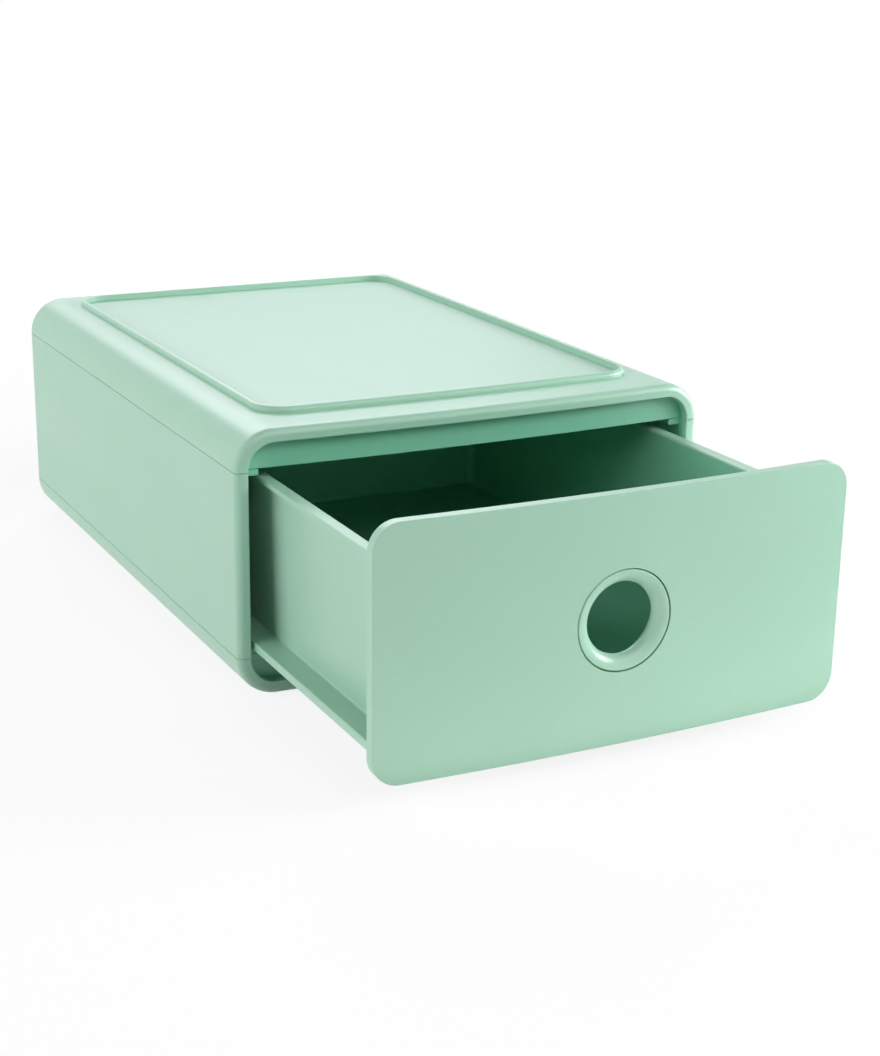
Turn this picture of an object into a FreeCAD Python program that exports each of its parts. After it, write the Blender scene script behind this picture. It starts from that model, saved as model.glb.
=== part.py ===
import FreeCAD, Part
import math
import os
import re
import Sketcher

# Desktop drawer unit: a shell of five snapped panels and one sliding drawer.
# Millimetres, +X right, +Y to the back, +Z up, origin at the centre of the base's underside.
# The drawer is drawn part way out, by drawer_open.

sizes = {
    # shell
    "shell_width": 180.0,
    "shell_depth": 242.0,
    "shell_height": 93.0,
    "corner_radius": 14.0,
    "front_bow": 3.0,
    "shell_wall": 2.4,
    "rim_wall": 4.6,
    "header_wall": 2.4,
    "edge_round": 2.4,
    "back_round": 1.2,
    "mouth_round": 0.5,
    "seam_gap": 0.2,
    "seam_depth": 1.2,
    # ledges and tongues of the side panels
    "ledge_reach": 5.0,
    "ledge_thickness": 2.1,
    "ledge_round": 0.5,
    "tongue_gap": 1.8,
    "tongue_thickness": 1.6,
    "tongue_height": 4.0,
    "tongue_length": 24.0,
    "snap_reach": 0.9,
    "snap_height": 1.6,
    "snap_gap": 0.25,
    # stacking lip on the cover and its groove under the base
    "lip_height": 2.2,
    "lip_width": 1.8,
    "lip_round": 1.5,
    "lip_side_margin": 16.5,
    "lip_front_margin": 17.8,
    "lip_back_margin": 11.2,
    "lip_corner": 12.0,
    "groove_gap": 0.6,
    # back panel
    "panel_gap": 0.15,
    "hook_height": 6.0,
    "hook_thickness": 2.0,
    "hook_margin": 20.0,
    # feet
    "foot_diameter": 12.0,
    "foot_thickness": 1.6,
    "foot_sink": 1.0,
    "foot_gap": 0.2,
    "foot_round": 0.4,
    "foot_inset_side": 32.0,
    "foot_inset_end": 34.0,
    # drawer
    "drawer_open": 93.2,
    "front_thickness": 4.0,
    "front_seat_gap": 0.35,
    "front_side_gap": 0.8,
    "front_head_gap": 0.25,
    "front_foot_gap": 1.05,
    "front_corner": 9.2,
    "front_round": 0.35,
    "front_back_round": 0.3,
    "tub_wall": 2.2,
    "tub_floor": 2.4,
    "tub_ledge_gap": 3.6,
    "tub_head_gap": 4.0,
    "tub_back_gap": 1.0,
    "tub_corner": 5.0,
    # how far the tub's walls lean in, on a wall of this height
    "tub_draft": 1.3,
    "tub_draft_height": 58.55,
    "tub_floor_round": 1.5,
    "tub_edge_round": 0.75,
    "tub_rim_reach": 2.4,
    "tub_rim_height": 1.6,
    "runner_thickness": 3.1,
    "runner_gap": 0.15,
    "runner_side_gap": 1.2,
    "runner_round": 0.5,
    "runner_fillet": 0.8,
    # drawer stop and the cover's guide ribs above it
    "stop_setback": 64.0,
    "stop_length": 12.0,
    "stop_height": 7.0,
    "guide_gap": 0.5,
    "guide_thickness": 2.0,
    # pull ring
    "ring_diameter": 33.1,
    "ring_gap": 0.4,
    "ring_sink": 0.15,
    "ring_flange": 2.2,
    "ring_edge_round": 0.4,
    "throat_diameter": 23.8,
    "throat_land": 0.6,
    "flare_depth": 3.0,
    "barrel_diameter": 31.0,
    "barrel_wall": 1.2,
    "barrel_gap": 0.3,
    "barb_reach": 0.6,
    "barb_length": 1.0,
    "barb_gap": 0.2,
    # screws of the drawer front
    "screw_diameter": 3.0,
    "screw_length": 4.8,
    "screw_head_diameter": 8.4,
    "screw_head_height": 1.8,
    "screw_gap": 0.05,
    "screw_inset_side": 18.5,
    "screw_inset_end": 10.0,
    "boss_diameter": 5.4,
    "boss_gap": 0.2,
    # how far a cutting shape passes the face it cuts
    "cut_overrun": 5.0,
}

# places of the snap tongues along the shell, as shares of its depth
tongue_shares = (-0.32, 0.0, 0.32)
# two points count as one when they are closer than this share of the width
match_share = 1e-4

doc = FreeCAD.newDocument("DrawerUnit")
sheet = doc.addObject("Spreadsheet::Sheet", "Sizes")
for row, (name, length) in enumerate(sizes.items(), start=1):
    sheet.set("A%d" % row, name)
    sheet.set("B%d" % row, str(length))
    sheet.setAlias("B%d" % row, name)
doc.recompute()

# worked-out measures, as text in terms of the sheet
bow_radius = "((shell_width ^ 2 / 4 + front_bow ^ 2) / (2 * front_bow))"
bow_centre = "(%s - shell_depth / 2 - front_bow)" % bow_radius
front_reach = "(-shell_depth / 2 - front_bow - cut_overrun)"
back_face = "(shell_depth / 2)"
recess_depth = "(front_thickness + front_seat_gap)"
low_seam = "(corner_radius)"
high_seam = "(shell_height - corner_radius)"
runner_low = "(corner_radius + seam_gap + ledge_thickness + runner_gap)"
runner_high = "(%s + runner_thickness)" % runner_low
runner_half = "(shell_width / 2 - rim_wall - runner_side_gap)"
tub_half = "(shell_width / 2 - rim_wall - ledge_reach - tub_ledge_gap)"
tub_top = "(shell_height - corner_radius - tub_head_gap)"
tub_lean = "(tub_draft * (%s - %s) / tub_draft_height)" % (tub_top, runner_low)
tub_low_half = "(%s - %s)" % (tub_half, tub_lean)
tub_back = "(shell_depth / 2 - shell_wall - hook_thickness - tub_back_gap - drawer_open)"
drawer_front_reach = "(%s - drawer_open)" % front_reach
front_face = "(-shell_depth / 2 - front_bow - drawer_open)"
front_low = "(rim_wall + front_foot_gap)"
front_high = "(shell_height - rim_wall - front_head_gap)"
front_middle = "((%s + %s) / 2)" % (front_low, front_high)


def linked(text):
    return re.sub(r"[a-z]+(?:_[a-z]+)+", lambda word: "Sizes." + word.group(0), text)


def bind(item, prop, text):
    item.setExpression(prop, linked(text))


def size(text):
    return float(sheet.evalExpression(text))


def place(item, x, y, z):
    bind(item, "Placement.Base.x", x)
    bind(item, "Placement.Base.y", y)
    bind(item, "Placement.Base.z", z)


def box(name, x, y, z):
    item = doc.addObject("Part::Box", name)
    for prop, span in (("Length", x), ("Width", y), ("Height", z)):
        bind(item, prop, "(%s) - (%s)" % (span[1], span[0]))
    place(item, x[0], y[0], z[0])
    return item


def rod(name, x, y, z, radius):
    # a cylinder along +Y, from y[0] to y[1]
    item = doc.addObject("Part::Cylinder", name)
    item.Placement.Rotation = FreeCAD.Rotation(FreeCAD.Vector(1, 0, 0), -90)
    bind(item, "Radius", radius)
    bind(item, "Height", "(%s) - (%s)" % (y[1], y[0]))
    place(item, x, y[0], z)
    return item


def bow(name, inset, pulled="0"):
    # everything behind the bowed front, moved in by inset and forward by pulled
    item = doc.addObject("Part::Cylinder", name)
    bind(item, "Radius", "%s - (%s)" % (bow_radius, inset))
    bind(item, "Height", "shell_height + 4 * cut_overrun")
    place(item, "0", "%s - (%s)" % (bow_centre, pulled), "-2 * cut_overrun")
    return item


def fuse(name, pieces):
    item = doc.addObject("Part::MultiFuse", name)
    item.Shapes = pieces
    return item


def cut(name, base, tool):
    item = doc.addObject("Part::Cut", name)
    item.Base = base
    item.Tool = tool
    return item


def common(name, base, tool):
    item = doc.addObject("Part::Common", name)
    item.Base = base
    item.Tool = tool
    return item


def rounded(name, base, radius, wanted):
    doc.recompute()
    item = doc.addObject("Part::Fillet", name)
    item.Base = base
    reach = size(radius)
    picked = [number for number, edge in enumerate(base.Shape.Edges, start=1) if wanted(edge)]
    if not picked:
        raise RuntimeError("no edge to round on " + name)
    item.Edges = [(number, reach, reach) for number in picked]
    doc.recompute()
    return item


def samples(edge):
    first, last = edge.ParameterRange
    return [edge.valueAt(first + (last - first) * step_share) for step_share in (0.0, 0.3, 0.5, 0.7, 1.0)]


def near(one, other):
    return abs(one - other) < match_share * sizes["shell_width"]


def within(one, limit):
    return one < limit or near(one, limit)


def level(edge, height):
    return all(near(point.z, height) for point in samples(edge))


def upright(edge):
    points = samples(edge)
    return all(near(point.x, points[0].x) and near(point.y, points[0].y) for point in points)


def steep(edge):
    points = samples(edge)
    run = math.hypot(points[-1].x - points[0].x, points[-1].y - points[0].y)
    return abs(points[-1].z - points[0].z) > 4 * run


def at_depth(edge, depth):
    return all(near(point.y, depth) for point in samples(edge))


def on_bow(edge, inset, pulled):
    centre = size("%s - (%s)" % (bow_centre, pulled))
    radius = size("%s - (%s)" % (bow_radius, inset))
    return all(near(math.hypot(point.x, point.y - centre), radius) for point in samples(edge))


def outline(name, corners):
    # a closed front-view outline; a corner with a radius ends a round stretch, to the left (1) or right (-1)
    sketch = doc.addObject("Sketcher::SketchObject", name)
    sketch.Placement.Rotation = FreeCAD.Rotation(FreeCAD.Vector(1, 0, 0), 90)
    draw(sketch, corners)
    return sketch


def draw(sketch, corners):
    spots = [FreeCAD.Vector(size(corner[0]), size(corner[1]), 0) for corner in corners]
    ends = []
    for number, corner in enumerate(corners):
        start = spots[number - 1]
        end = spots[number]
        if len(corner) == 2:
            sketch.addGeometry(Part.LineSegment(start, end), False)
            ends.append((1, 2))
            continue
        radius = size(corner[2])
        chord = end - start
        side = FreeCAD.Vector(-chord.y, chord.x, 0).normalize()
        rise = math.sqrt(max(radius ** 2 - chord.Length ** 2 / 4, 0))
        centre = start + chord / 2 + side * rise * corner[3]
        first, last = (start, end) if corner[3] > 0 else (end, start)
        angles = [math.atan2(spot.y - centre.y, spot.x - centre.x) for spot in (first, last)]
        if angles[1] < angles[0]:
            angles[1] += 2 * math.pi
        circle = Part.Circle(centre, FreeCAD.Vector(0, 0, 1), radius)
        sketch.addGeometry(Part.ArcOfCircle(circle, angles[0], angles[1]), False)
        ends.append((1, 2) if corner[3] > 0 else (2, 1))
    count = len(corners)
    for number, corner in enumerate(corners):
        following = (number + 1) % count
        joint = Sketcher.Constraint("Coincident", number, ends[number][1], following, ends[following][0])
        sketch.addConstraint(joint)
        measures = (("DistanceX", corner[0], spots[number].x), ("DistanceY", corner[1], spots[number].y))
        for kind, text, value in measures:
            index = sketch.addConstraint(Sketcher.Constraint(kind, -1, 1, number, ends[number][1], value))
            sketch.setExpression("Constraints[%d]" % index, linked(text))
        if len(corner) == 4:
            index = sketch.addConstraint(Sketcher.Constraint("Radius", number, size(corner[2])))
            sketch.setExpression("Constraints[%d]" % index, linked(corner[2]))


def through(name, sketch, front, back):
    # a front-view outline drawn out along the depth
    item = doc.addObject("Part::Extrusion", name)
    item.Base = sketch
    item.DirMode = "Custom"
    item.Dir = FreeCAD.Vector(0, 1, 0)
    item.Solid = True
    bind(item, "LengthFwd", back)
    bind(item, "LengthRev", "-(%s)" % front)
    return item


def tapered(name, low_half, high_half, y, z):
    # a block whose two sides lean outwards towards the top
    shape = outline(name + "_outline", [
        ("-" + low_half, z[0]),
        (low_half, z[0]),
        (high_half, z[1]),
        ("-" + high_half, z[1]),
    ])
    return through(name, shape, y[0], y[1])


def inward(side, near_reach, far_reach):
    # a span across, measured inwards from the left (-1) or right (1) outer face
    if side < 0:
        return "-shell_width / 2 + (%s)" % near_reach, "-shell_width / 2 + (%s)" % far_reach
    return "shell_width / 2 - (%s)" % far_reach, "shell_width / 2 - (%s)" % near_reach


def sub_part(item, label):
    item.Label = label
    nodes.append(item)


nodes = []
tongue_spans = [
    ("shell_depth * %s - tongue_length / 2" % share, "shell_depth * %s + tongue_length / 2" % share)
    for share in tongue_shares
]


# Top cover and base tray: the same rounded cap, one way up and the other

def cap_outline(name, inset, height, turn, run_out):
    left = "-shell_width / 2 + (%s)" % inset
    right = "shell_width / 2 - (%s)" % inset
    corner = "corner_radius - (%s)" % inset
    corners = [
        (left, height("corner_radius")),
        ("-shell_width / 2 + corner_radius", height(inset), corner, turn),
        ("shell_width / 2 - corner_radius", height(inset)),
        (right, height("corner_radius"), corner, turn),
    ]
    if run_out:
        corners.append((right, height("corner_radius + cut_overrun")))
        corners.append((left, height("corner_radius + cut_overrun")))
    return outline(name, corners)


def cap_shell(name, height, turn):
    seam = size(height("corner_radius"))
    flat = "0"
    profile = cap_outline(name + "_outline", flat, height, turn, False)
    outer = through(name + "_block", profile, front_reach, back_face)
    bowed = common(name + "_bowed", outer, bow(name + "_bow", flat))
    front_round = rounded(name + "_front_round", bowed, "edge_round",
                          lambda edge: on_bow(edge, flat, flat) and not level(edge, seam))
    all_round = rounded(name + "_back_round", front_round, "back_round",
                        lambda edge: at_depth(edge, size(back_face)) and not level(edge, seam))
    mouth_profile = cap_outline(name + "_mouth_outline", "rim_wall", height, turn, True)
    mouth = through(name + "_mouth", mouth_profile, front_reach, flat)
    recess = cut(name + "_recess", mouth, bow(name + "_recess_bow", recess_depth))
    hollow_depth = "%s + header_wall" % recess_depth
    hollow_profile = cap_outline(name + "_hollow_outline", "shell_wall", height, turn, True)
    hollow = through(name + "_hollow", hollow_profile, front_reach, "shell_depth / 2 - shell_wall")
    cavity = common(name + "_cavity", hollow, bow(name + "_cavity_bow", hollow_depth))
    rim = cut(name + "_rim", all_round, recess)
    reach = size("shell_width / 2 - rim_wall")
    flat_height = size(height("0"))
    eased = rounded(name + "_eased", rim, "mouth_round",
                    lambda edge: on_bow(edge, flat, flat) and not level(edge, seam)
                    and all(within(abs(point.x), reach) for point in samples(edge))
                    and all(within(size("rim_wall"), abs(point.z - flat_height)) for point in samples(edge)))
    pieces = [cut(name + "_shell", eased, cavity)]
    # catches that the side panels' tongues snap behind
    catch_ends = [height("corner_radius"), height("corner_radius - tongue_height + snap_height + snap_gap")]
    catch_ends.sort(key=size)
    for side in (-1, 1):
        across = inward(side, "shell_wall / 2", "shell_wall + tongue_gap - snap_gap")
        for number, along in enumerate(tongue_spans):
            label = "%s_catch_%s_%d" % (name, "left" if side < 0 else "right", number)
            pieces.append(box(label, across, along, catch_ends))
    return fuse(name + "_body", pieces)


def lip_block(name, inset, low, high):
    # the plan of the stacking lip, moved in by inset
    half = "shell_width / 2 - lip_side_margin - (%s)" % inset
    back = "shell_depth / 2 - lip_back_margin - (%s)" % inset
    block = box(name + "_block", ("-(%s)" % half, half), (front_reach, back), (low, high))
    bowed = common(name + "_bowed", block, bow(name + "_bow", "lip_front_margin + (%s)" % inset))
    return rounded(name + "_round", bowed, "lip_corner - (%s)" % inset, upright)


def top_height(drop):
    return "shell_height - (%s)" % drop


def base_height(rise):
    return "(%s)" % rise


def make_top_cover():
    shell = cap_shell("cover", top_height, -1)
    lip_low = "shell_height - shell_wall / 2"
    lip_high = "shell_height + lip_height"
    outer = lip_block("lip_outer", "0", lip_low, lip_high)
    eased = rounded("lip_eased", outer, "lip_round", lambda edge: level(edge, size(lip_high)))
    inner = lip_block("lip_inner", "lip_width", "shell_height - shell_wall", "%s + cut_overrun" % lip_high)
    lip = cut("lip", eased, inner)
    guide_low = "%s + stop_height + guide_gap" % tub_top
    guide_middle = "(%s - tub_wall / 2)" % tub_half
    pieces = [shell, lip]
    for name, sign in (("guide_left", "-1"), ("guide_right", "1")):
        middle = "%s * %s" % (sign, guide_middle)
        across = ("%s - guide_thickness / 2" % middle, "%s + guide_thickness / 2" % middle)
        along = (front_reach, "shell_depth / 2 - shell_wall / 2")
        rib = box(name + "_block", across, along, (guide_low, "shell_height - shell_wall / 2"))
        pieces.append(common(name, rib, bow(name + "_bow", "%s + header_wall / 2" % recess_depth)))
    sub_part(fuse("top_cover", pieces), "top_cover")


def make_base_tray():
    shell = cap_shell("base", base_height, 1)
    depth = "lip_height + groove_gap"
    ridge = "%s + shell_wall" % depth
    inside = "lip_width + groove_gap"
    ridge_outer = lip_block("ridge_outer", "-groove_gap - shell_wall", "shell_wall / 2", ridge)
    ridge_inner = lip_block("ridge_inner", inside + " + shell_wall", "0", ridge + " + cut_overrun")
    groove_outer = lip_block("groove_outer", "-groove_gap", "-cut_overrun", depth)
    groove_inner = lip_block("groove_inner", inside, "-2 * cut_overrun", depth + " + cut_overrun")
    ridged = fuse("base_ridged", [shell, cut("ridge", ridge_outer, ridge_inner)])
    grooved = cut("base_grooved", ridged, cut("groove", groove_outer, groove_inner))
    sockets = []
    for name, x, y in foot_places:
        socket = doc.addObject("Part::Cylinder", name + "_socket")
        bind(socket, "Radius", "foot_diameter / 2 + foot_gap")
        bind(socket, "Height", "foot_sink + cut_overrun")
        place(socket, x, y, "-cut_overrun")
        sockets.append(socket)
    sub_part(cut("base_tray", grooved, fuse("foot_sockets", sockets)), "base_tray")


foot_across = "(shell_width / 2 - foot_inset_side)"
foot_along = "(shell_depth / 2 - foot_inset_end)"
foot_places = [
    ("foot_front_left", "-" + foot_across, "-" + foot_along),
    ("foot_front_right", foot_across, "-" + foot_along),
    ("foot_back_left", "-" + foot_across, foot_along),
    ("foot_back_right", foot_across, foot_along),
]


def make_feet():
    for name, x, y in foot_places:
        pad = doc.addObject("Part::Cylinder", name + "_pad")
        bind(pad, "Radius", "foot_diameter / 2")
        bind(pad, "Height", "foot_thickness")
        place(pad, x, y, "foot_sink - foot_thickness")
        low = size("foot_sink - foot_thickness")
        sub_part(rounded(name, pad, "foot_round", lambda edge: level(edge, low)), name)


# Side panels, mirror images of each other

def make_side_panel(label, side):
    outer = size("%s * shell_width / 2" % side)
    tall = ("%s + seam_gap" % low_seam, "%s - seam_gap" % high_seam)
    rim_back = "-shell_depth / 2 + %s" % recess_depth
    plate = box(label + "_plate", inward(side, "0", "shell_wall"), (front_reach, back_face), tall)
    edge_bar = box(label + "_edge_bar", inward(side, "0", "rim_wall"), (front_reach, rim_back), tall)
    blank = fuse(label + "_blank", [plate, edge_bar])
    skin = common(label + "_skin", blank, bow(label + "_bow", "0"))
    mouth = size("%s * (shell_width / 2 - rim_wall)" % side)
    front_round = rounded(label + "_front_round", skin, "edge_round",
                          lambda edge: upright(edge) and near(samples(edge)[0].x, outer)
                          and samples(edge)[0].y < 0)
    back_round = rounded(label + "_back_round", front_round, "back_round",
                         lambda edge: upright(edge) and near(samples(edge)[0].x, outer)
                         and near(samples(edge)[0].y, size(back_face)))
    whole = rounded(label + "_mouth_round", back_round, "mouth_round",
                    lambda edge: upright(edge) and near(samples(edge)[0].x, mouth)
                    and samples(edge)[0].y < size("-shell_depth / 2"))
    # the inner part of the edge stands on the base and carries the cover, so the seam shows as a fine gap
    full = (low_seam, high_seam)
    seat_back = "shell_depth / 2 - seam_depth"
    seat_across = inward(side, "seam_depth", "shell_wall")
    seat_plate = box(label + "_seat_plate", seat_across, (front_reach, seat_back), full)
    bar_across = inward(side, "seam_depth", "rim_wall")
    seat_bar = box(label + "_seat_bar", bar_across, (front_reach, rim_back), full)
    seat_blank = fuse(label + "_seat_blank", [seat_plate, seat_bar])
    seat = common(label + "_seat", seat_blank, bow(label + "_seat_bow", "seam_depth"))
    pieces = [whole, seat]
    ledge_across = inward(side, "seam_depth", "rim_wall + ledge_reach")
    ledge_back = "shell_depth / 2 - shell_wall"
    tongue_back = "shell_wall + tongue_gap + tongue_thickness"
    tongue_across = inward(side, "shell_wall + tongue_gap", tongue_back)
    spans = (
        ("low", ("%s + seam_gap" % low_seam, "%s + seam_gap + ledge_thickness" % low_seam),
         ("%s - tongue_height" % low_seam, "%s + seam_gap + ledge_thickness / 2" % low_seam),
         ("%s - tongue_height" % low_seam, "%s - tongue_height + snap_height" % low_seam)),
        ("high", ("%s - seam_gap - ledge_thickness" % high_seam, "%s - seam_gap" % high_seam),
         ("%s - seam_gap - ledge_thickness / 2" % high_seam, "%s + tongue_height" % high_seam),
         ("%s + tongue_height - snap_height" % high_seam, "%s + tongue_height" % high_seam)),
    )
    barb_across = inward(side, "shell_wall + tongue_gap - snap_reach", tongue_back)
    for name, ledge_up, tongue_up, barb_up in spans:
        slab = box(label + "_slab_" + name, ledge_across, (front_reach, ledge_back), ledge_up)
        slab_end = common(label + "_ledge_end_" + name, slab, bow(label + "_ledge_bow_" + name, recess_depth))
        tip = size(inward(side, "rim_wall + ledge_reach", "rim_wall + ledge_reach")[0])
        ledge = rounded(label + "_ledge_" + name, slab_end, "ledge_round",
                        lambda edge: all(near(point.x, tip) for point in samples(edge)) and not upright(edge))
        pieces.append(ledge)
        for number, along in enumerate(tongue_spans):
            pieces.append(box("%s_tongue_%s_%d" % (label, name, number), tongue_across, along, tongue_up))
            pieces.append(box("%s_barb_%s_%d" % (label, name, number), barb_across, along, barb_up))
    sub_part(fuse(label, pieces), label)


# Back panel: a plate between the side panels, hooked behind the cover and the base

def make_back_panel():
    half = "shell_width / 2 - shell_wall - panel_gap"
    inside = "shell_depth / 2 - shell_wall"
    plate = box("back_plate", ("-(%s)" % half, half), (inside, back_face),
                ("%s + seam_gap" % low_seam, "%s - seam_gap" % high_seam))
    hook_half = "shell_width / 2 - hook_margin"
    hook_front = "%s - hook_thickness" % inside
    hook = box("back_hook", ("-(%s)" % hook_half, hook_half), (hook_front, inside),
               ("%s - hook_height" % low_seam, "%s + hook_height" % high_seam))
    window = box("back_window", ("-(%s)" % half, half), ("%s - cut_overrun" % hook_front, inside),
                 ("%s + hook_height" % low_seam, "%s - hook_height" % high_seam))
    sub_part(fuse("back_panel", [plate, cut("back_hooks", hook, window)]), "back_panel")


# Drawer: the tub with its runners, the bowed front, the pull ring and the screws

screw_across = "(%s - screw_inset_side)" % tub_half
screw_low = "(%s + tub_floor + screw_inset_end)" % runner_low
screw_high = "(%s - screw_inset_end)" % tub_top
screw_places = [
    ("lower_left", "-" + screw_across, screw_low),
    ("lower_right", screw_across, screw_low),
    ("upper_left", "-" + screw_across, screw_high),
    ("upper_right", screw_across, screw_high),
]
screw_seat = ("(%s - drawer_open - sqrt((%s - front_thickness - tub_wall) ^ 2"
              " - (%s + screw_head_diameter / 2) ^ 2))") % (bow_centre, bow_radius, screw_across)
# a span along the depth that passes right through the drawer front and the tub's front wall
front_wall_span = (drawer_front_reach,
                   "%s + front_bow + front_thickness + tub_wall + cut_overrun" % front_face)


def make_drawer_tub():
    high = tub_top
    block = tapered("tub_block", tub_low_half, tub_half, (drawer_front_reach, tub_back), (runner_low, high))
    shaped = rounded("tub_shaped", block, "tub_corner",
                     lambda edge: steep(edge) and at_depth(edge, size(tub_back)))
    # a rim along the top of both sides, turned outwards
    rim_half = "(%s + tub_rim_reach)" % tub_half
    rim_block = box("tub_rim_block", ("-" + rim_half, rim_half), (drawer_front_reach, tub_back),
                    ("%s - tub_rim_height" % high, high))
    rim = rounded("tub_rim", rim_block, "tub_corner",
                  lambda edge: upright(edge) and near(samples(edge)[0].y, size(tub_back)))
    rimmed = fuse("tub_rimmed", [shaped, rim])
    rimmed.Refine = True
    bowed = common("tub_bowed", rimmed, bow("tub_bow", "front_thickness", "drawer_open"))
    inner_low_half = "(%s - tub_wall)" % tub_low_half
    inner_lean = "%s / (%s - %s - tub_floor)" % (tub_lean, high, runner_low)
    inner_high_half = "(%s - tub_wall + cut_overrun * %s)" % (tub_half, inner_lean)
    inner = tapered("tub_inner", inner_low_half, inner_high_half,
                    (drawer_front_reach, "%s - tub_wall" % tub_back),
                    ("%s + tub_floor" % runner_low, "%s + cut_overrun" % high))
    inner_face = bow("tub_inner_bow", "front_thickness + tub_wall", "drawer_open")
    inner_bowed = common("tub_inner_bowed", inner, inner_face)
    inner_round = rounded("tub_inner_round", inner_bowed, "tub_corner - tub_wall", steep)
    floor = size("%s + tub_floor" % runner_low)
    hollow = rounded("tub_hollow", inner_round, "tub_floor_round", lambda edge: level(edge, floor))
    walls = rounded("tub_walls", cut("tub_cup", bowed, hollow), "tub_edge_round",
                    lambda edge: level(edge, size(high))
                    and not on_bow(edge, "front_thickness", "drawer_open"))
    runner_block = box("runner_block", ("-" + runner_half, runner_half), (drawer_front_reach, tub_back),
                       (runner_low, runner_high))
    inner_across = ("-" + inner_low_half, inner_low_half)
    runner_inside = box("runner_inside", inner_across, (drawer_front_reach, "%s + cut_overrun" % tub_back),
                        ("%s - cut_overrun" % runner_low, "%s + cut_overrun" % high))
    runner_bowed = common("runner_bowed", runner_block, bow("runner_bow", "front_thickness", "drawer_open"))
    runner_edge = size(runner_half)
    runner_pair = rounded("runner_pair", runner_bowed, "runner_round",
                          lambda edge: all(near(abs(point.x), runner_edge) for point in samples(edge))
                          and not upright(edge))
    pieces = [walls, cut("runners", runner_pair, runner_inside)]
    # a hollow round in the corner between each wall and its runner
    for name, side, turn in (("left", "-", 1), ("right", "", -1)):
        rooted = "%s(%s - tub_wall / 2)" % (side, tub_low_half)
        spread = "%s(%s + runner_fillet)" % (side, tub_low_half)
        rooted_low = "%s - runner_thickness / 2" % runner_high
        shape = outline("runner_corner_outline_" + name, [
            (rooted, rooted_low),
            (spread, rooted_low),
            (spread, runner_high),
            (side + tub_low_half, "%s + runner_fillet" % runner_high, "runner_fillet", turn),
            (rooted, "%s + runner_fillet" % runner_high),
        ])
        strip_back = "%s - tub_corner" % tub_back
        strip = through("runner_corner_strip_" + name, shape, drawer_front_reach, strip_back)
        corner_bow = bow("runner_corner_bow_" + name, "front_thickness", "drawer_open")
        pieces.append(common("runner_corner_" + name, strip, corner_bow))
    stop_front = "%s - stop_setback" % tub_back
    for name, span in (("stop_left", ("-" + tub_half, "-(%s - tub_wall)" % tub_half)),
                       ("stop_right", ("%s - tub_wall" % tub_half, tub_half))):
        pieces.append(box(name, span, (stop_front, "%s + stop_length" % stop_front),
                          ("%s - tub_wall" % high, "%s + stop_height" % high)))
    whole = fuse("tub_whole", pieces)
    holes = [rod("tub_ring_hole", "0", front_wall_span, front_middle, "barrel_diameter / 2 + barrel_gap")]
    for name, x, z in screw_places:
        holes.append(rod("tub_screw_hole_" + name, x, front_wall_span, z, "boss_diameter / 2 + boss_gap"))
    sub_part(cut("drawer_tub", whole, fuse("tub_holes", holes)), "drawer_tub")


def make_drawer_front():
    left = "-shell_width / 2 + rim_wall + front_side_gap"
    right = "shell_width / 2 - rim_wall - front_side_gap"
    straight_left = "%s + front_corner" % left
    straight_right = "%s - front_corner" % right
    straight_low = "%s + front_corner" % front_low
    straight_high = "%s - front_corner" % front_high
    shape = outline("front_outline", [
        (left, straight_low),
        (straight_left, front_low, "front_corner", 1),
        (straight_right, front_low),
        (right, straight_low, "front_corner", 1),
        (right, straight_high),
        (straight_right, front_high, "front_corner", 1),
        (straight_left, front_high),
        (left, straight_high, "front_corner", 1),
    ])
    flat = "0"
    block = through("front_block", shape, drawer_front_reach, "0")
    bowed = common("front_bowed", block, bow("front_bow_face", flat, "drawer_open"))
    plate = cut("front_plate", bowed, bow("front_bow_back", "front_thickness", "drawer_open"))
    eased = rounded("front_eased", plate, "front_round", lambda edge: on_bow(edge, flat, "drawer_open"))
    smooth = rounded("front_smooth", eased, "front_back_round",
                     lambda edge: on_bow(edge, "front_thickness", "drawer_open"))
    pieces = [smooth]
    pilots = []
    boss_start = "%s - screw_length" % screw_seat
    boss_span = (boss_start, "%s - boss_gap" % screw_seat)
    pilot_span = ("%s - screw_gap" % boss_start, "%s + cut_overrun" % screw_seat)
    for name, x, z in screw_places:
        pieces.append(rod("boss_" + name, x, boss_span, z, "boss_diameter / 2"))
        pilots.append(rod("pilot_" + name, x, pilot_span, z, "screw_diameter / 2 + screw_gap"))
    seat_span = (drawer_front_reach, "%s + ring_sink + ring_flange" % front_face)
    seat = rod("ring_seat", "0", seat_span, front_middle, "ring_diameter / 2 + ring_gap")
    hole = rod("ring_hole", "0", front_wall_span, front_middle, "barrel_diameter / 2 + barrel_gap")
    holes = fuse("front_holes", pilots + [seat, hole])
    sub_part(cut("drawer_front", fuse("front_bossed", pieces), holes), "drawer_front")


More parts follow.
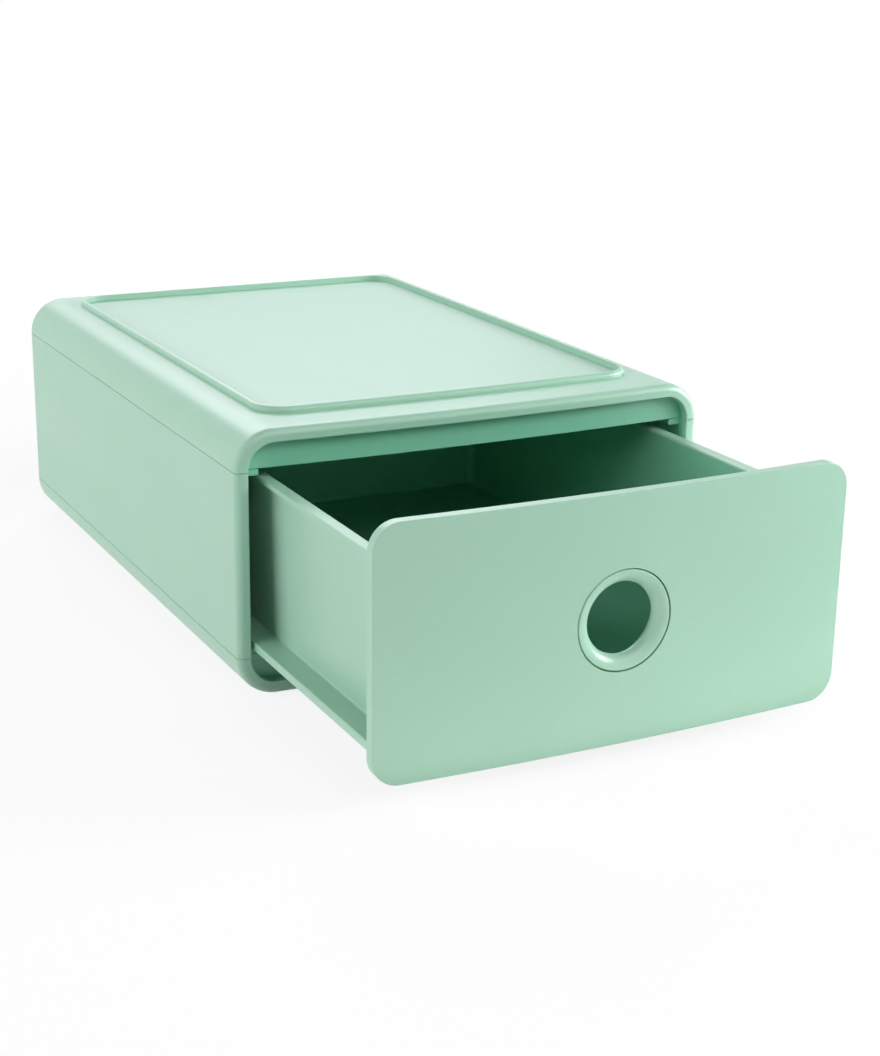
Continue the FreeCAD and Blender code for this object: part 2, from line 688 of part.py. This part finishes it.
def make_pull_ring():
    body = doc.addObject("PartDesign::Body", "pull_ring")
    plane = [feature for feature in body.Origin.OriginFeatures if feature.Role == "YZ_Plane"][0]
    sketch = body.newObject("Sketcher::SketchObject", "ring_profile")
    sketch.AttachmentSupport = (plane, [""])
    sketch.MapMode = "FlatFace"
    rim = "ring_diameter / 2"
    throat = "throat_diameter / 2"
    barrel = "barrel_diameter / 2"
    bore = "barrel_diameter / 2 - barrel_wall"
    spread = "(ring_diameter / 2 - ring_edge_round - throat_diameter / 2)"
    flare = "(flare_depth ^ 2 + %s ^ 2) / (2 * flare_depth)" % spread
    catch = "front_thickness - ring_sink + tub_wall + barb_gap"
    end = "%s + barb_length" % catch
    # depth behind the ring's face against radius
    draw(sketch, [
        ("0", "%s - ring_edge_round" % rim, "ring_edge_round", 1),
        ("flare_depth", throat, flare, 1),
        ("flare_depth + throat_land", throat),
        ("flare_depth + throat_land", bore),
        (end, bore),
        (end, barrel),
        (catch, "%s + barb_reach" % barrel),
        (catch, barrel),
        ("ring_flange", barrel),
        ("ring_flange", rim),
        ("ring_edge_round", rim),
    ])
    turned = body.newObject("PartDesign::Revolution", "ring_turned")
    turned.Profile = sketch
    turned.ReferenceAxis = (sketch, ["H_Axis"])
    turned.Angle = 360
    body.Tip = turned
    place(body, "0", "%s + ring_sink" % front_face, front_middle)
    sub_part(body, "pull_ring")


def make_screws():
    shank_span = ("%s - screw_length" % screw_seat, screw_seat)
    head_span = (screw_seat, "%s + screw_head_height" % screw_seat)
    for name, x, z in screw_places:
        shank = rod("shank_" + name, x, shank_span, z, "screw_diameter / 2")
        head = rod("head_" + name, x, head_span, z, "screw_head_diameter / 2")
        sub_part(fuse("screw_" + name, [shank, head]), "screw_" + name)


make_top_cover()
make_base_tray()
make_side_panel("left_side_panel", -1)
make_side_panel("right_side_panel", 1)
make_back_panel()
make_feet()
make_drawer_tub()
make_drawer_front()
make_pull_ring()
make_screws()
doc.recompute()

for item in doc.Objects:
    if "Invalid" in item.State or "Error" in item.State:
        raise RuntimeError("%s did not build: %s" % (item.Name, item.State))
for item in nodes:
    if item.Shape.isNull() or not item.Shape.isValid():
        raise RuntimeError("%s is not a valid solid" % item.Label)
    if len(item.Shape.Solids) != 1:
        raise RuntimeError("%s has %d solids" % (item.Label, len(item.Shape.Solids)))

os.makedirs("parts", exist_ok=True)
for item in nodes:
    item.Shape.exportStep("parts/%s.step" % item.Label)
    print("%-18s %9.0f mm3" % (item.Label, item.Shape.Volume))
stop_travel = size("(%s - stop_setback) - (%s - sqrt((%s - %s - header_wall) ^ 2 - %s ^ 2))"
                   % (tub_back, bow_centre, bow_radius, recess_depth, tub_half))
print("drawer opens a further %.1f mm to its stop" % stop_travel)
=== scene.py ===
import math

import bmesh
import bpy
from mathutils import Matrix, Vector


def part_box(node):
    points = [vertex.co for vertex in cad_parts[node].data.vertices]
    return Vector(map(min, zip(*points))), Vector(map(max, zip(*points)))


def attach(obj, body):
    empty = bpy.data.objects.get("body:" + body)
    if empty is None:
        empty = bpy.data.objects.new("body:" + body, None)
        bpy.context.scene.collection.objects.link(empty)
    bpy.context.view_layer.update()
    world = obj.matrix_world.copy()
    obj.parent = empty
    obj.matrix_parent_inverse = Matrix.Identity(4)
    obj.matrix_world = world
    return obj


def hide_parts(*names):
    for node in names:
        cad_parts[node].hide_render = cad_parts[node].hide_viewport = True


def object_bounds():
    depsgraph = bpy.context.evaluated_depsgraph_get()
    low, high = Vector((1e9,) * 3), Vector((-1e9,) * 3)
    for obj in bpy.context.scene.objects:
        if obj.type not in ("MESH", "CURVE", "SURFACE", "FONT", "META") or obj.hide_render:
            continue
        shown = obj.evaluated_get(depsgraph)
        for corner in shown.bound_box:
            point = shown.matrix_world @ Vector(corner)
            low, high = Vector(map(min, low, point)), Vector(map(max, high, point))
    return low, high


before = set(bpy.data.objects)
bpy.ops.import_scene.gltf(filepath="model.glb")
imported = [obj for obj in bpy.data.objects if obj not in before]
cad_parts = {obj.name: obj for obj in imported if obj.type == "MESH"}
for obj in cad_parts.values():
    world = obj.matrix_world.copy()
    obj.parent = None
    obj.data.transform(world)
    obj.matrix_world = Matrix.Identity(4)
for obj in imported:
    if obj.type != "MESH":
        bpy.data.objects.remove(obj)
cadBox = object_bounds()
scene = bpy.context.scene
scene.view_settings.view_transform = "Standard"


# Shader sums: a socket that takes part in Python expressions
class Reading:
    def __init__(self, bench, socket):
        self.bench = bench
        self.socket = socket

    def sum(self, operation, first, second=0.0, third=0.0):
        return self.bench.add("ShaderNodeMath", {"operation": operation}, {0: first, 1: second, 2: third})

    def __add__(self, other):
        return self.sum("ADD", self, other)

    def __radd__(self, other):
        return self.sum("ADD", other, self)

    def __sub__(self, other):
        return self.sum("SUBTRACT", self, other)

    def __rsub__(self, other):
        return self.sum("SUBTRACT", other, self)

    def __mul__(self, other):
        return self.sum("MULTIPLY", self, other)

    def __rmul__(self, other):
        return self.sum("MULTIPLY", other, self)

    def __gt__(self, other):
        return self.sum("GREATER_THAN", self, other)

    def __abs__(self):
        return self.sum("ABSOLUTE", self)


# One node tree, of a material or of the world
class Bench:
    def __init__(self, holder):
        self.holder = holder
        holder.use_nodes = True
        self.tree = holder.node_tree
        self.tree.nodes.clear()

    def add(self, kind, settings=None, sockets=None, out=0):
        node = self.tree.nodes.new(kind)
        for key, setting in (settings or {}).items():
            setattr(node, key, setting)
        for key, value in (sockets or {}).items():
            if isinstance(value, Reading):
                self.tree.links.new(value.socket, node.inputs[key])
            else:
                node.inputs[key].default_value = value
        return Reading(self, node.outputs[out]) if node.outputs else None

    def place(self):
        return self.add("ShaderNodeTexCoord", out=3)  # Object coordinates

    def axes(self, place):
        return [self.add("ShaderNodeSeparateXYZ", sockets={0: place}, out=number) for number in range(3)]

    def stretched(self, place, scale):
        return self.add("ShaderNodeMapping", sockets={"Vector": place, "Scale": scale})

    def noise(self, place, scale, detail, rough):
        return self.add("ShaderNodeTexNoise", {"noise_dimensions": "3D"},
                        {"Vector": place, "Scale": scale, "Detail": detail, "Roughness": rough})

    def between(self, amount, low, high):
        return self.add("ShaderNodeMapRange", {"clamp": True},
                        {"Value": amount, "From Min": low, "From Max": high})

    def within(self, amount, low, high, soft):
        return self.between(amount, low, low + soft) * (1.0 - self.between(amount, high - soft, high))

    def length(self, *legs):
        square = sum((leg * leg for leg in legs[1:]), legs[0] * legs[0])
        return self.add("ShaderNodeMath", {"operation": "SQRT"}, {0: square})

    def above(self, amount, low):
        return self.add("ShaderNodeMath", {"operation": "MAXIMUM"}, {0: amount - low, 1: 0.0})

    def mixed(self, amount, first, second):
        return self.add("ShaderNodeMix", {"data_type": "RGBA"}, {0: amount, 6: first, 7: second}, out=2)

    def bump(self, height, strength, distance, under=None):
        sockets = {"Height": height, "Strength": strength, "Distance": distance}
        if under:
            sockets["Normal"] = under
        return self.add("ShaderNodeBump", sockets=sockets)

    def pathIs(self, *names):
        order = {"camera": 0, "glossy": 3, "transmission": 6}
        rays = [self.add("ShaderNodeLightPath", out=order[name]) for name in names]
        return sum(rays[1:], rays[0]) > 0.5

    def show(self, shader, output="ShaderNodeOutputMaterial"):
        self.add(output, sockets={"Surface": shader})
        return self.holder


def tint(shade, lift):
    return tuple(min(1.0, part * lift) for part in shade) + (1.0,)


# How far a point lies behind the bowed front of the shell or of the drawer
bowLook = {
    "halfWidth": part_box("top_cover")[1].x,
    "depth": 0.003,
    "shellFront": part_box("top_cover")[0].y,
    "drawerFront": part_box("drawer_front")[0].y,
}


def behindFront(across, along, front):
    return along - front - across * across * (bowLook["depth"] / bowLook["halfWidth"] ** 2)


# How far a point lies inside a rounded outline, seen from the front; at most the corner's radius
def insideOutline(bench, across, up, hollow):
    low, high = hollow["up"]
    reach = bench.above(abs(across), hollow["halfWidth"] - hollow["corner"])
    rise = bench.above(abs(up - (low + high) / 2), (high - low) / 2 - hollow["corner"])
    return hollow["corner"] - bench.length(reach, rise)


# Moulded plastic: satin, with a fine spark-eroded grain, faint flow marks and a painted shade in the
# hollow, darker and greener where shade falls inside
plasticLook = {
    "shade": (0.345, 0.585, 0.452),
    # painted shade: a darker, greener colour for the hollows, standing in for the shade that falls inside
    # the shell and the tub
    "paintedHollowShade": (0.190, 0.500, 0.345),
    "drift": 0.018,  # the tone drifts by this share
    "driftNoise": (22.0, 3.0, 0.5),  # every noise: scale per metre, detail, roughness
    "driftSpan": (0.3, 0.7),
    "speckNoise": (900.0, 1.0, 0.5),
    "speckSpan": (0.35, 0.65),
    "speckShare": 0.3,
    "grainNoise": (2400.0, 3.0, 0.6),
    "grainDepth": 0.00003,  # metres
    "grainStrength": 0.35,
    "flowStretch": (40.0, 5.0, 40.0),  # streaks run along the depth
    "flowNoise": (1.0, 4.0, 0.6),
    "flowSpan": (0.3, 0.7),
    "rough": 0.35,
    "roughFlow": 0.07,
    "roughGrain": 0.10,
    "waveNoise": (14.0, 1.0, 0.5),
    "waveDepth": 0.00012,
    "ior": 1.53,
}
ringLook = dict(plasticLook, rough=0.34, grainStrength=0.15)  # smoother than the panels


def mouldedPlastic(name, look, hollow=None, pinMarks=None):
    bench = Bench(bpy.data.materials.new(name))
    place = bench.place()
    across, along, up = bench.axes(place)
    drift = bench.between(bench.noise(place, *look["driftNoise"]), *look["driftSpan"])
    speck = bench.between(bench.noise(place, *look["speckNoise"]), *look["speckSpan"])
    blend = drift * (1.0 - look["speckShare"]) + speck * look["speckShare"]
    darker, lighter = (tint(look["shade"], 1.0 + side * look["drift"]) for side in (-1, 1))
    colour = bench.mixed(blend, darker, lighter)
    if hollow:
        depth = behindFront(across, along, hollow["front"])
        skin = insideOutline(bench, across, up, hollow)
        inside = (bench.between(skin, hollow["skin"], hollow["skin"] + hollow["soft"])
                  * bench.between(depth, hollow["behind"], hollow["behind"] + hollow["soft"])
                  * (1.0 - bench.between(along, hollow["back"] - hollow["soft"], hollow["back"])))
        # painted shade: inside the hollow the colour turns darker and greener, in place of the shade that
        # falls there
        colour = bench.mixed(inside, colour, tint(look["paintedHollowShade"], 1.0))
    grain = bench.noise(place, *look["grainNoise"])
    streaks = bench.noise(bench.stretched(place, look["flowStretch"]), *look["flowNoise"])
    flow = bench.between(streaks, *look["flowSpan"])
    rough = look["rough"] + (flow - 0.5) * look["roughFlow"] + (grain - 0.5) * look["roughGrain"]
    surface = bench.bump(bench.noise(place, *look["waveNoise"]), 1.0, look["waveDepth"])
    if pinMarks:
        cells = [bench.add("ShaderNodeMath", {"operation": "PINGPONG"}, {0: axis, 1: step / 2})
                 for axis, step in ((across, pinMarks["step"][0]), (along, pinMarks["step"][1]))]
        rim = pinMarks["radius"] - pinMarks["edge"]
        mark = 1.0 - bench.between(bench.length(*cells), rim, pinMarks["radius"])
        floor = bench.within(up, *pinMarks["up"], pinMarks["edge"])
        surface = bench.bump(mark * floor, 1.0, pinMarks["depth"], surface)
    surface = bench.bump(grain, look["grainStrength"], look["grainDepth"], surface)
    return bench.show(bench.add("ShaderNodeBsdfPrincipled", sockets={
        "Base Color": colour, "Roughness": rough, "IOR": look["ior"], "Normal": surface}))


# Where the painted shade of the hollows lies
shellWalls = {
    "lip": 0.0022,  # height of the stacking lip
    "backSkin": 0.0018,
}
shellHollow = {
    "front": bowLook["shellFront"],
    "halfWidth": bowLook["halfWidth"],
    "up": (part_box("base_tray")[0].z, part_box("top_cover")[1].z - shellWalls["lip"]),
    "corner": 0.0140,
    "skin": 0.0014,
    "behind": 0.0020,
    "back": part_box("back_panel")[1].y - shellWalls["backSkin"],
    "soft": 0.0008,
}
tubWalls = {
    "underSkin": 0.0012,
    "backSkin": 0.0011,
    "rim": 0.0745,  # height in the frame
    "floor": (0.0018, 0.0030),  # heights over the tub's underside
}
tubLow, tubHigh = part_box("drawer_tub")
tubHollow = {
    "front": bowLook["drawerFront"],
    "halfWidth": 0.0755,
    "up": (tubLow.z + tubWalls["underSkin"], tubWalls["rim"]),
    "corner": 0.0010,
    "skin": 0.0,
    "behind": 0.0050,
    "back": tubHigh.y - tubWalls["backSkin"],
    "soft": 0.0008,
}
# Round marks of the ejector pins on the tub's floor
floorMarks = {
    "step": (0.058, 0.066),
    "radius": 0.0045,
    "edge": 0.0004,
    "depth": -0.00015,
    "up": [tubLow.z + height for height in tubWalls["floor"]],
}
shellPlastic = mouldedPlastic("shellPlastic", plasticLook, shellHollow)
tubPlastic = mouldedPlastic("tubPlastic", plasticLook, tubHollow, floorMarks)
frontPlastic = mouldedPlastic("frontPlastic", plasticLook)
ringPlastic = mouldedPlastic("ringPlastic", ringLook)
nodeFinish = {
    "top_cover": shellPlastic,
    "base_tray": shellPlastic,
    "left_side_panel": shellPlastic,
    "right_side_panel": shellPlastic,
    "back_panel": shellPlastic,
    "drawer_tub": tubPlastic,
    "drawer_front": frontPlastic,
    "pull_ring": ringPlastic,
}
for node, finish in nodeFinish.items():
    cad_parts[node].data.materials.clear()
    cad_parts[node].data.materials.append(finish)
print("mouldings: %d nodes dressed" % len(nodeFinish))


# Zinc-plated steel, with the cloudy bloom of the plating
steelLook = {
    "bright": (0.62, 0.63, 0.64),
    "cloud": (0.46, 0.47, 0.49),
    "cloudNoise": (900.0, 4.0, 0.6),
    "cloudSpan": (0.35, 0.7),
    "lineStretch": (300.0, 300.0, 9000.0),
    "lineNoise": (1.0, 2.0, 0.5),
    "lineDepth": 0.000006,
    "lineStrength": 0.6,
    "rough": 0.24,
    "roughCloud": 0.16,
}


def zincSteel(name, look):
    bench = Bench(bpy.data.materials.new(name))
    place = bench.place()
    cloud = bench.between(bench.noise(place, *look["cloudNoise"]), *look["cloudSpan"])
    lines = bench.noise(bench.stretched(place, look["lineStretch"]), *look["lineNoise"])
    colour = bench.mixed(cloud, tint(look["bright"], 1.0), tint(look["cloud"], 1.0))
    return bench.show(bench.add("ShaderNodeBsdfPrincipled", sockets={
        "Base Color": colour, "Metallic": 1.0, "Roughness": look["rough"] + cloud * look["roughCloud"],
        "Normal": bench.bump(lines, look["lineStrength"], look["lineDepth"])}))


# Rubber: dull, with a fine cast grain
rubberLook = {
    "shade": (0.020, 0.022, 0.022),
    "dust": (0.085, 0.085, 0.080),
    "dustNoise": (420.0, 5.0, 0.65),
    "dustSpan": (0.45, 0.8),
    "grainNoise": (3000.0, 2.0, 0.5),
    "grainDepth": 0.00004,
    "grainStrength": 0.5,
    "rough": 0.78,
    "roughDust": 0.12,
}


def castRubber(name, look):
    bench = Bench(bpy.data.materials.new(name))
    place = bench.place()
    dust = bench.between(bench.noise(place, *look["dustNoise"]), *look["dustSpan"])
    grain = bench.noise(place, *look["grainNoise"])
    colour = bench.mixed(dust, tint(look["shade"], 1.0), tint(look["dust"], 1.0))
    return bench.show(bench.add("ShaderNodeBsdfPrincipled", sockets={
        "Base Color": colour, "Roughness": look["rough"] + dust * look["roughDust"],
        "Normal": bench.bump(grain, look["grainStrength"], look["grainDepth"])}))


# Every new piece is merged, creased and handed to the frame in the same way
pieceCare = {
    "merge": 0.000002,
    "crease": 35.0,  # degrees
}


def keepPiece(name, work, finish, body, node):
    bmesh.ops.remove_doubles(work, verts=work.verts, dist=pieceCare["merge"])
    bmesh.ops.recalc_face_normals(work, faces=work.faces)
    mesh = bpy.data.meshes.new(name)
    work.to_mesh(mesh)
    work.free()
    mesh.materials.append(finish)
    mesh.shade_smooth()
    mesh.set_sharp_from_angle(angle=math.radians(pieceCare["crease"]))
    piece = bpy.data.objects.new(name, mesh)
    scene.collection.objects.link(piece)
    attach(piece, body)
    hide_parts(node)


def vertsOf(made):
    return [item for item in made["geom"] if isinstance(item, bmesh.types.BMVert)]


# Screws that hold the drawer front: pan head with a cross recess, and a cut thread
screwLook = {
    "segments": 40,
    "crown": 0.0024,  # radius of the flat on top of the head
    "headSteps": ((0.0032, 0.00020), (0.0038, 0.00055), (0.0041, 0.00095), (0.0042, 0.00135),
                  (0.0041, 0.00180)),  # radius, depth below the crown
    "headHeight": 0.0018,
    "recessArm": 0.0019,
    "recessHalfWidth": 0.00042,
    "recessDepth": 0.0012,
    "recessTaper": 0.55,
    "cutReach": 1e-7,  # points this near to a cut lie on it
    "core": 0.00110,
    "rootShare": 0.94,  # the thread starts a little inside the core
    "crest": 0.00148,
    "pitch": 0.0012,
    "stepsPerTurn": 24,
    "point": 0.0007,
    "tipShare": 0.25,  # of the core's radius, at the end of the point
}


def addThread(work, look, start, length):
    turns = int((length - look["pitch"]) / look["pitch"])
    root = look["core"] * look["rootShare"]
    ridge = bmesh.ops.create_circle(work, segments=3, radius=look["pitch"] / 2)["verts"]
    inner = min(vert.co.y for vert in ridge)
    outer = max(vert.co.y for vert in ridge)
    for vert in ridge:  # the triangle stands on the core, with its point outwards
        share = (vert.co.y - inner) / (outer - inner)
        vert.co = Vector((root + share * (look["crest"] - root), 0, start + vert.co.x))
    edges = list({item for vert in ridge for item in vert.link_edges})
    steps = turns * look["stepsPerTurn"]
    bmesh.ops.spin(work, geom=ridge + edges, cent=(0, 0, 0), axis=(0, 0, -1), angle=math.tau * turns,
                   steps=steps, dvec=(0, 0, -look["pitch"] / look["stepsPerTurn"]))
    bmesh.ops.holes_fill(work, edges=[item for item in work.edges if item.is_boundary])


def makeScrew(node, finish, look):
    low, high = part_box(node)
    work = bmesh.new()
    bmesh.ops.create_circle(work, cap_ends=True, segments=look["segments"], radius=look["crown"])
    cuts = [side * reach for side in (-1, 1) for reach in (look["recessHalfWidth"], look["recessArm"])]
    for normal in ((1, 0, 0), (0, 1, 0)):
        for reach in cuts:
            bmesh.ops.bisect_plane(work, geom=work.verts[:] + work.edges[:] + work.faces[:],
                                   dist=look["cutReach"], plane_co=Vector(normal) * reach, plane_no=normal)
    cross = []
    for face in work.faces:
        middle = face.calc_center_median()
        near, far = sorted((abs(middle.x), abs(middle.y)))
        if near < look["recessHalfWidth"] and far < look["recessArm"]:
            cross.append(face)
    sunk = vertsOf(bmesh.ops.extrude_face_region(work, geom=cross))
    bmesh.ops.delete(work, geom=cross, context="FACES")  # the recess is open
    bmesh.ops.translate(work, verts=sunk, vec=(0, 0, -look["recessDepth"]))
    bmesh.ops.scale(work, verts=sunk, vec=(look["recessTaper"], look["recessTaper"], 1))
    # head, shoulder and core, drawn out ring by ring from the crown's edge
    length = high.y - low.y
    rings = list(look["headSteps"])
    rings += [(look["core"], look["headHeight"]), (look["core"], length - look["point"]),
              (look["core"] * look["tipShare"], length)]
    edge = [item for item in work.edges if item.is_boundary]
    reached, depth = look["crown"], 0.0
    for radius, drop in rings:
        made = bmesh.ops.extrude_edge_only(work, edges=edge)
        ring = vertsOf(made)
        edge = [item for item in made["geom"] if isinstance(item, bmesh.types.BMEdge) and item.is_boundary]
        bmesh.ops.scale(work, verts=ring, vec=(radius / reached, radius / reached, 1))
        bmesh.ops.translate(work, verts=ring, vec=(0, 0, depth - drop))
        reached, depth = radius, drop
    bmesh.ops.holes_fill(work, edges=edge)
    shank = length - look["headHeight"] - look["point"]
    addThread(work, look, -look["headHeight"] - look["pitch"] / 2, shank)
    crownAt = ((low.x + high.x) / 2, high.y, (low.z + high.z) / 2)
    toHead = Matrix.Translation(crownAt) @ Matrix.Rotation(math.radians(-90), 4, "X")
    bmesh.ops.transform(work, matrix=toHead, verts=work.verts)
    keepPiece(node + "Cut", work, finish, "drawer", node)


screwSteel = zincSteel("screwSteel", steelLook)
screwNodes = sorted(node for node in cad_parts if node.startswith("screw_"))
for node in screwNodes:
    makeScrew(node, screwSteel, screwLook)
print("screws: %d cut" % len(screwNodes))


# Feet: round pads with grip rings underneath
footLook = {
    "steps": 64,
    "ringShares": (0.18, 0.40, 0.62),  # middles of the grip rings, as shares of the radius
    "ringHalfWidth": 0.00045,
    "ringFoot": 0.00072,  # half width at the groove
    "rimShares": (0.78, 0.82),  # the slope from the last groove to the outer rim
    "grooveDepth": 0.00035,
    "edgeRound": 0.0004,
    "edgeSteps": 4,
}


def makeFoot(node, finish, look):
    low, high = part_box(node)
    radius = (high.x - low.x) / 2
    groove = low.z + look["grooveDepth"]
    outline = [(0.0, groove)]
    for share in look["ringShares"]:
        middle = share * radius
        outline += [(middle - look["ringFoot"], groove), (middle - look["ringHalfWidth"], low.z),
                    (middle + look["ringHalfWidth"], low.z), (middle + look["ringFoot"], groove)]
    rimStart, rimEnd = look["rimShares"]
    outline += [(radius * rimStart, groove), (radius * rimEnd, low.z)]
    for step in range(look["edgeSteps"] + 1):
        turn = math.pi / 2 * step / look["edgeSteps"]
        outline.append((radius - look["edgeRound"] * (1 - math.sin(turn)),
                        low.z + look["edgeRound"] * (1 - math.cos(turn))))
    outline += [(radius, high.z), (0.0, high.z)]
    work = bmesh.new()
    corners = [work.verts.new((reach, 0, height)) for reach, height in outline]
    sides = [work.edges.new(pair) for pair in zip(corners, corners[1:])]
    bmesh.ops.spin(work, geom=corners + sides, cent=(0, 0, 0), axis=(0, 0, 1), angle=math.tau,
                   steps=look["steps"], use_merge=True)
    bmesh.ops.translate(work, verts=work.verts, vec=((low.x + high.x) / 2, (low.y + high.y) / 2, 0))
    keepPiece(node + "Pad", work, finish, "shell", node)


footRubber = castRubber("footRubber", rubberLook)
footNodes = sorted(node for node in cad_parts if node.startswith("foot_"))
for node in footNodes:
    makeFoot(node, footRubber, footLook)
print("feet: %d cast" % len(footNodes))


# Camera, from the lines of the photograph
cameraLook = {
    "eye": (-0.304143, -0.681189, 0.252183),
    "turn": -27.3121,  # degrees round the vertical
    "dip": 17.7137,  # degrees below the level
    "roll": 0.8654,
    "lens": 65.1728,
    "sensor": 36.0,
}
cameraData = bpy.data.cameras.new("camera")
cameraData.lens = cameraLook["lens"]
cameraData.sensor_width = cameraLook["sensor"]
camera = bpy.data.objects.new("camera", cameraData)
aim = (Matrix.Rotation(math.radians(cameraLook["turn"]), 4, "Z")
       @ Matrix.Rotation(math.radians(90.0 - cameraLook["dip"]), 4, "X")
       @ Matrix.Rotation(math.radians(cameraLook["roll"]), 4, "Z"))
camera.matrix_world = Matrix.Translation(cameraLook["eye"]) @ aim
scene.collection.objects.link(camera)
scene.camera = camera


# Floor: white to the camera, with a faint shadow near the object
floorLook = {
    "size": 6.0,
    "shade": (0.8, 0.8, 0.8, 1.0),
    "shadowShare": 0.14,
    "shadowReach": (0.25, 0.6),
}
paperWhite = (1.0, 1.0, 1.0, 1.0)


def makeFloor(look):
    mesh = bpy.data.meshes.new("floor")
    work = bmesh.new()
    bmesh.ops.create_grid(work, x_segments=1, y_segments=1, size=look["size"] / 2)
    bmesh.ops.translate(work, verts=work.verts, vec=(0.0, 0.0, cadBox[0].z))
    work.to_mesh(mesh)
    work.free()
    floor = bpy.data.objects.new("floor", mesh)
    scene.collection.objects.link(floor)
    bench = Bench(bpy.data.materials.new("floorPaper"))
    away = bench.add("ShaderNodeVectorMath", {"operation": "LENGTH"}, {0: bench.place()}, out=1)
    near = 1.0 - bench.between(away, *look["shadowReach"])
    plain = bench.add("ShaderNodeBsdfDiffuse", sockets={"Color": look["shade"]})
    paper = bench.add("ShaderNodeBsdfDiffuse", sockets={"Color": paperWhite})
    white = bench.add("ShaderNodeEmission", sockets={"Color": paperWhite, "Strength": 1.0})
    shaded = bench.add("ShaderNodeMixShader", sockets={0: near * look["shadowShare"], 1: white, 2: paper})
    seen = bench.pathIs("camera", "glossy", "transmission")
    surface = bench.add("ShaderNodeMixShader", sockets={0: seen, 1: plain, 2: shaded})
    mesh.materials.append(bench.show(surface))


makeFloor(floorLook)


# A white surround that only shows in views and reflections, and soft boxes that light the object
def makeWorld():
    world = bpy.data.worlds.new("studio")
    scene.world = world
    bench = Bench(world)
    seen = bench.pathIs("camera", "glossy", "transmission")
    bright = bench.add("ShaderNodeBackground", sockets={"Color": paperWhite, "Strength": 1.0})
    dark = bench.add("ShaderNodeBackground", sockets={"Color": paperWhite, "Strength": 0.0})
    surface = bench.add("ShaderNodeMixShader", sockets={0: seen, 1: dark, 2: bright})
    bench.show(surface, "ShaderNodeOutputWorld")


makeWorld()
lampAim = Vector((0.0, -0.04, 0.05))
softBoxes = {  # angles in degrees: around from the front towards the right, height above the level
    "left": {"around": 262.0, "height": 19.0, "reach": 2.4, "size": (2.6, 0.9), "watts": 46.0,
             "tint": (1.03, 1.00, 0.99), "mirrored": False},
    "back": {"around": 168.0, "height": 36.0, "reach": 2.0, "size": (1.4, 1.0), "watts": 17.0,
             "tint": (0.98, 1.00, 1.06)},
    "right": {"around": 68.0, "height": 16.0, "reach": 1.0, "size": (0.6, 0.3), "watts": 10.4,
              "tint": (1.00, 1.00, 1.00)},
    "frontRight": {"around": 45.0, "height": 30.0, "reach": 1.2, "size": (0.8, 0.6), "watts": 0.8,
                   "tint": (0.98, 1.00, 1.04)},
    "front": {"around": 15.0, "height": 20.0, "reach": 2.6, "size": (1.7, 1.0), "watts": 1.5,
              "tint": (1.00, 1.00, 0.96)},
    "overFront": {"around": 0.0, "height": 40.0, "reach": 2.4, "size": (1.7, 1.0), "watts": 17.0,
                  "tint": (0.99, 1.00, 1.00)},
}
glowLook = {  # a narrow strip on the floor before the drawer, which lights it from below
    "place": (0.030, -0.252, 0.004),
    "size": (0.36, 0.06),
    "watts": 0.040,
    "tint": (1.10, 1.00, 0.88),
    "mirrored": False,
}


def hangLamp(name, look, place, outward):
    lamp = bpy.data.lights.new(name, "AREA")
    lamp.shape = "RECTANGLE"
    lamp.size, lamp.size_y = look["size"]
    lamp.energy = look["watts"]
    lamp.color = look["tint"]
    box = bpy.data.objects.new(name, lamp)
    turned = (-outward).to_track_quat("-Z", "Y").to_matrix().to_4x4()
    box.matrix_world = Matrix.Translation(place) @ turned
    box.visible_camera = False
    box.visible_glossy = look.get("mirrored", True)
    scene.collection.objects.link(box)


for name, look in softBoxes.items():
    around, height = math.radians(look["around"]), math.radians(look["height"])
    level = math.cos(height)
    outward = Vector((math.sin(around) * level, -math.cos(around) * level, math.sin(height)))
    hangLamp(name, look, lampAim + outward * look["reach"], outward)
hangLamp("glow", glowLook, Vector(glowLook["place"]), Vector((0.0, 0.0, -1.0)))
print("stage: %d lamps" % (len(softBoxes) + 1))
